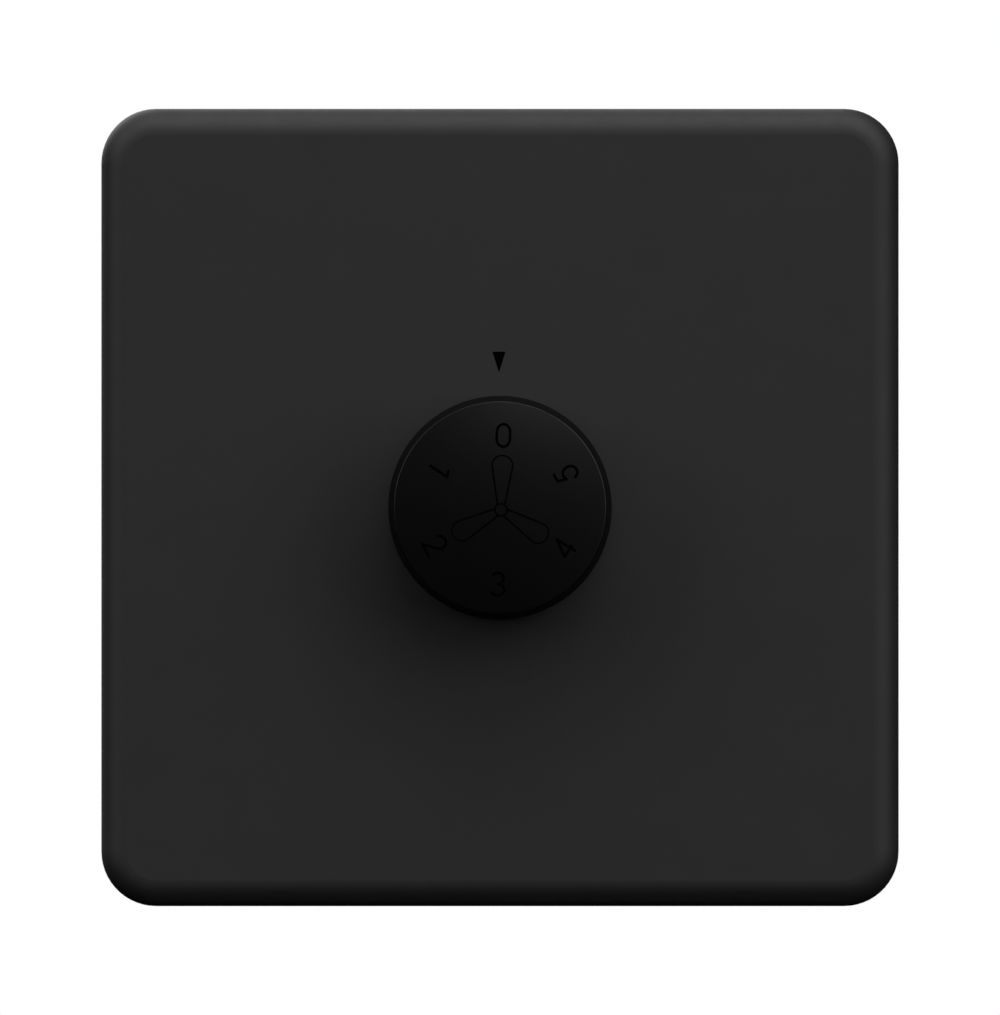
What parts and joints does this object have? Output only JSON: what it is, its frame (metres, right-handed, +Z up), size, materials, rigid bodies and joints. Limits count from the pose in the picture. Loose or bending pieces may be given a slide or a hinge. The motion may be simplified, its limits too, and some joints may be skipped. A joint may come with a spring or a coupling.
{
  "type": "rotary fan speed control",
  "caption": "Square wall plate with a round central knob that steps a fan's speed, on a mounting frame with a detented rotary switch and a regulator module behind it.",
  "frame": {"origin": "on the wall plane, behind the middle of the plate and on the knob's axis", "axes": "+Z up the wall, +X to the right as seen from the room, +Y into the wall; the knob faces -Y"},
  "size_m": [0.086, 0.0528, 0.086],
  "materials": {
    "plate_black": "fine matte moulded texture",
    "frame_grey": "plain moulded",
    "knob_black": "satin moulded, marks engraved",
    "spring_steel": "bright spring steel",
    "acetal_ivory": "satin acetal",
    "bush_brass": "turned brass",
    "zinc_steel": "zinc plated",
    "phenolic_black": "moulded phenolic",
    "contact_brass": "silver-flashed brass",
    "wafer_brown": "phenolic paper",
    "board_tan": "phenolic paper laminate",
    "capacitor_yellow": "boxed film capacitor",
    "resistor_beige": "lacquered",
    "resistor_grey": "flameproof coating",
    "terminal_grey": "moulded polyamide",
    "housing_black": "plain moulded"
  },
  "bodies": {
    "wall_unit": {"front_plate": "plate_black", "mounting_frame": "frame_grey", "spindle_bush": "bush_brass", "bush_washer": "zinc_steel", "bush_nut": "zinc_steel", "switch_case": "phenolic_black", "detent_spring": "spring_steel", "common_contact": "contact_brass", "step_contacts": "contact_brass", "contact_wafer": "wafer_brown", "switch_rivets": "bush_brass", "circuit_board": "board_tan", "capacitor_left": "capacitor_yellow", "capacitor_right": "capacitor_yellow", "bleed_resistors": "resistor_beige", "surge_resistors": "resistor_grey", "terminal_block": "terminal_grey", "terminal_cages": "bush_brass", "terminal_screws": "zinc_steel", "rear_housing": "housing_black", "housing_screws": "zinc_steel"},
    "dial": {"knob": "knob_black", "knob_spring_clip": "spring_steel", "spindle": "acetal_ivory", "spindle_clip": "spring_steel", "detent_wheel": "acetal_ivory", "contact_rotor": "acetal_ivory", "wiper_blade": "contact_brass"}
  },
  "joints": [
    {"name": "knob_turn", "type": "hinge", "parent": "wall_unit", "child": "dial", "pos_m": [0, 0, 0], "axis": [0, 1, 0], "range_deg": [0, 300], "deforming": ["detent_spring"]}
  ]
}
